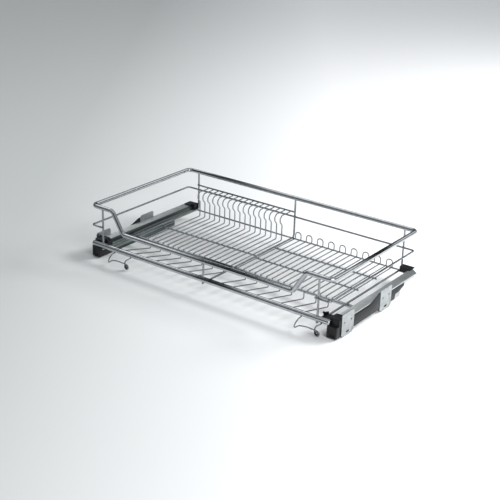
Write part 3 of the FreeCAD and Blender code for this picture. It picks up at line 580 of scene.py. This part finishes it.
def make_welds():
    """A nugget wherever one wire is welded across another, and a ring of weld round each post's end."""
    flat, upright, fillet, back = (2.3, 2.3, 0.8), (2.3, 0.8, 2.3), (3.9, 3.9, 0.9), (2.9, 0.9, 2.9)
    seam_z = BASE_WIRE_Z - FINE_R
    plates, bowls = plate_wire_places(), bowl_wire_places().ravel()
    rail_y, rail_z = rod_axis("plate_rail")
    nuggets = [(x, BAR_Y, seam_z) for x in (*plates, *bowls)]
    nuggets += [(x, rod_axis("left_cross_wire")[0], seam_z) for x in plates]
    nuggets += [(x, rod_axis(rod)[0], seam_z) for rod in BOWL_RODS for x in bowls]
    nuggets += [(x, rail_y, rail_z - CROSS_R) for x in plates]
    nuggets += [(x, rod_axis("rear_cross_bar")[0], seam_z + 0.8 * MM) for x in bowls]
    nuggets += [(x + dx, FRONT, front_low[2]) for x in HOOK_PLACES.values() for dx in (0, HOOK_SPAN)]
    tray = [(x, BAR_Y - BAR_R, BAR_Z) for x in tray_wire_places()]
    tray += [(x, *TRAY_START) for x in tray_wire_places()]
    mid_z = rod_axis("mid_rail")[1]
    posts, backs = [], []
    for node in FRAME_WIRES:
        low, high = node_box(node)
        x = (low[0] + high[0]) / 2
        posts += [(x, FRONT, front_high[2]), (x, FRONT, post_end(node)), (x, FRONT, front_low[2])]
        posts += [(x, high[1] - FRAME_R, TOP_Z - RAIL_R), (x, BAR_Y, low[2])]
        backs.append((x, high[1] - 2 * FRAME_R, mid_z))
        if node != "centre_wire":
            backs.append((x, FRONT - FRAME_R, mid_z))
    shapes = [beads(nuggets, flat), beads(tray, upright), beads(posts, fillet), beads(backs, back)]
    mesh_piece("weld_nuggets", shapes, "basket", "chromed_wire")


make_welds()


# ---- sheet-metal and plastic parts: CAD shapes with eased edges ---------------------------


# Part, the body it rides on, and how far its edges are rounded, in mm.
EASED_PARTS = (
    ("drawer_rail", "basket", 0.4), ("cabinet_rail", "root", 0.4), ("front_bracket", "root", 0.35),
    ("rear_bracket", "root", 0.35), ("damper_housing", "root", 0.4), ("front_block", "basket", 1.6),
    ("front_clip", "basket", 0.5), ("rear_clip", "basket", 1.2),
)
LEVER_EDGE = 0.5
SHARP = radians(30)


def eased(node, body, width_mm):
    """A CAD node's own shape, its loose triangles merged into flats, with every sharp edge rounded."""
    mesh = frame["nodes"][node].data.copy()
    work = bmesh.new()
    work.from_mesh(mesh)
    bmesh.ops.remove_doubles(work, verts=work.verts, dist=0.002 * MM)
    bmesh.ops.dissolve_limit(work, angle_limit=radians(1), verts=work.verts, edges=work.edges)
    work.to_mesh(mesh)
    work.free()
    piece = bpy.data.objects.new(node + "_shaped", mesh)
    bpy.context.scene.collection.objects.link(piece)
    mesh.shade_smooth()
    edge = piece.modifiers.new("eased_edges", "BEVEL")
    edge.width = width_mm * MM
    edge.segments = 2
    edge.limit_method = "ANGLE"
    edge.angle_limit = SHARP
    edge.harden_normals = True
    give_finish(piece, SLOT_OF[node])
    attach(piece, body)
    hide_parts(node)


for side in ("left", "right"):
    for part, body, edge_width in EASED_PARTS:
        eased(f"{side}_{part}", body, edge_width)
    eased(f"{side}_release_lever", f"{side}_release_lever", LEVER_EDGE)


# ---- floor, light and camera --------------------------------------------------------------


def make_floor():
    """A large pale floor, not part of the object, with painted light: light grey on the left, graduated to
    white on the right.
    """
    half = 14.0
    mesh = bpy.data.meshes.new("studio_floor")
    corners = [(-half, -half, 0), (half, -half, 0), (half, half, 0), (-half, half, 0)]
    mesh.from_pydata(corners, [], [(0, 1, 2, 3)])
    floor = bpy.data.objects.new("studio_floor", mesh)
    bpy.context.scene.collection.objects.link(floor)
    m = new_material("matt_studio_paper_painted_light")
    place = add(m, "ShaderNodeTexCoord").outputs["Object"]
    across = add(m, "ShaderNodeMapping", {"Vector": place}, Rotation=(0, 0, radians(-35)))
    side = add(m, "ShaderNodeSeparateXYZ", {"Vector": across.outputs[0]})
    # Painted light: the paper's colour lightens towards the right, standing in for more light falling there.
    share = add(m, "ShaderNodeMapRange", {"Value": side.outputs["X"]}, From_Min=-0.75, From_Max=0.35)
    tone = add(m, "ShaderNodeValToRGB", {"Fac": share.outputs[0]}, [(0.0, "#CDD0D0"), (1.0, "#FAFBFC")])
    surface = add(m, "ShaderNodeBsdfPrincipled", {"Base Color": tone.outputs["Color"]},
                  Roughness=0.9, Specular_IOR_Level=0.1)
    add(m, "ShaderNodeOutputMaterial", {"Surface": surface.outputs[0]})
    mesh.materials.append(m)


def area_light(name, spot, target, size, power, mirrored=True):
    """A rectangular studio light at a spot, facing a target; the chrome shows it unless mirrored is off."""
    light = bpy.data.lights.new(name, "AREA")
    light.shape = "RECTANGLE"
    light.size, light.size_y = size
    light.energy = power
    lamp = bpy.data.objects.new(name, light)
    bpy.context.scene.collection.objects.link(lamp)
    lamp.visible_glossy = mirrored
    lamp.location = spot
    lamp.rotation_euler = (Vector(target) - Vector(spot)).to_track_quat("-Z", "Y").to_euler()


def band(low, high, soft, inside="#FFFFFF", outside="#000000"):
    """One colour between two places on an axis and another beyond them, with soft edges."""
    return [(low - soft, outside), (low, inside), (high, inside), (high + soft, outside)]


# What lies in each direction of the room. Each entry multiplies colours along axes of the looking
# direction, whose places run from -1 to 1. The flags are two narrow dark bands; each shows as a short
# black stretch on the rails.
BLACK_FLAG = {"inside": "#020303", "outside": "#FFFFFF"}
ROOM = {
    "flags": [("X", band(-0.572, -0.542, 0.006, **BLACK_FLAG)),
              ("Y", band(0.801, 0.83, 0.006, **BLACK_FLAG))],
    "walls": [("Z", [(0.0, "#15181A"), (0.16, "#2B2F31"), (0.32, "#63686A"), (0.62, "#B6B9BB"),
                     (1.0, "#DADCDE")])],
    "rear_box": [("X", band(0.05, 0.5, 0.08)), ("Y", band(0.62, 0.86, 0.04)), ("Z", band(0.3, 0.9, 0.06))],
    "left_box": [("X", band(-0.66, -0.42, 0.04)), ("Y", band(0.1, 0.45, 0.06)), ("Z", band(0.4, 0.95, 0.08))],
}
GLOW = {"walls": 0.92, "rear_box": 0.8, "left_box": 1.6}
MULTIPLY = {"data_type": "RGBA", "blend_type": "MULTIPLY", "Factor": 1.0}


def make_world():
    """Soft room light: two softboxes, pale overhead, and dark walls, which draw the chrome's dark lines.

    Past the floor's edge a pale backdrop is seen directly, in place of the dark walls.
    """
    world = bpy.data.worlds.new("studio")
    bpy.context.scene.world = world
    world.use_nodes = True
    world.node_tree.nodes.clear()
    looking = add(world, "ShaderNodeTexCoord").outputs["Generated"]
    split = add(world, "ShaderNodeSeparateXYZ", {"Vector": looking})
    colours = {}
    for name, bands in ROOM.items():
        for axis, places in bands:
            reach = add(world, "ShaderNodeMapRange", {"Value": split.outputs[axis]}, From_Min=-1.0)
            stops = [((place + 1) / 2, colour) for place, colour in places]
            tone = add(world, "ShaderNodeValToRGB", {"Fac": reach.outputs[0]}, stops).outputs["Color"]
            if name in colours:
                tone = add(world, "ShaderNodeMix", {6: colours[name], 7: tone}, **MULTIPLY).outputs[2]
            colours[name] = tone
    total = None
    for name, strength in GLOW.items():
        flagged = add(world, "ShaderNodeMix", {6: colours[name], 7: colours["flags"]}, **MULTIPLY)
        glow = add(world, "ShaderNodeBackground", {"Color": flagged.outputs[2]}, Strength=strength).outputs[0]
        total = glow if total is None else add(world, "ShaderNodeAddShader", {0: total, 1: glow}).outputs[0]
    backdrop = add(world, "ShaderNodeBackground", Color=linear("#D2D5D6")).outputs[0]
    direct = add(world, "ShaderNodeLightPath").outputs["Is Camera Ray"]
    shown = add(world, "ShaderNodeMixShader", {0: direct, 1: total, 2: backdrop})
    add(world, "ShaderNodeOutputWorld", {"Surface": shown.outputs[0]})


CAMERA_SPOT = (1.66963, -2.33866, 1.26482)
CAMERA_TURN = radians(35.64)        # from straight in front, towards the right
CAMERA_DIVE = radians(22.629)
CAMERA_ROLL = radians(1.9278)
LENS_MM = 77.16


def make_camera():
    """Camera in front, to the right of the basket and above it."""
    forward = np.array([-sin(CAMERA_TURN) * cos(CAMERA_DIVE), cos(CAMERA_TURN) * cos(CAMERA_DIVE),
                        -sin(CAMERA_DIVE)])
    level = np.cross(forward, [0, 0, 1])
    level /= np.linalg.norm(level)
    upright = np.cross(level, forward)
    right = level * cos(CAMERA_ROLL) + upright * sin(CAMERA_ROLL)
    up = upright * cos(CAMERA_ROLL) - level * sin(CAMERA_ROLL)
    lens = bpy.data.cameras.new("camera")
    lens.sensor_width = 36
    lens.lens = LENS_MM
    lens.clip_end = 100
    camera = bpy.data.objects.new("camera", lens)
    bpy.context.scene.collection.objects.link(camera)
    axes = [[*row] for row in zip(right, up, -forward, CAMERA_SPOT)]
    camera.matrix_world = Matrix(axes + [[0, 0, 0, 1]])
    bpy.context.scene.camera = camera


make_floor()
make_world()
area_light("right_window", spot=(2.4, -1.1, 1.2), target=(0.6, 0, 0), size=(1.4, 1.0), power=36)
area_light("rear_softbox", spot=(1.6, 2.4, 1.9), target=(0.4, 0.5, 0), size=(1.5, 1.1), power=112,
           mirrored=False)
make_camera()
bpy.context.scene.view_settings.view_transform = "Standard"
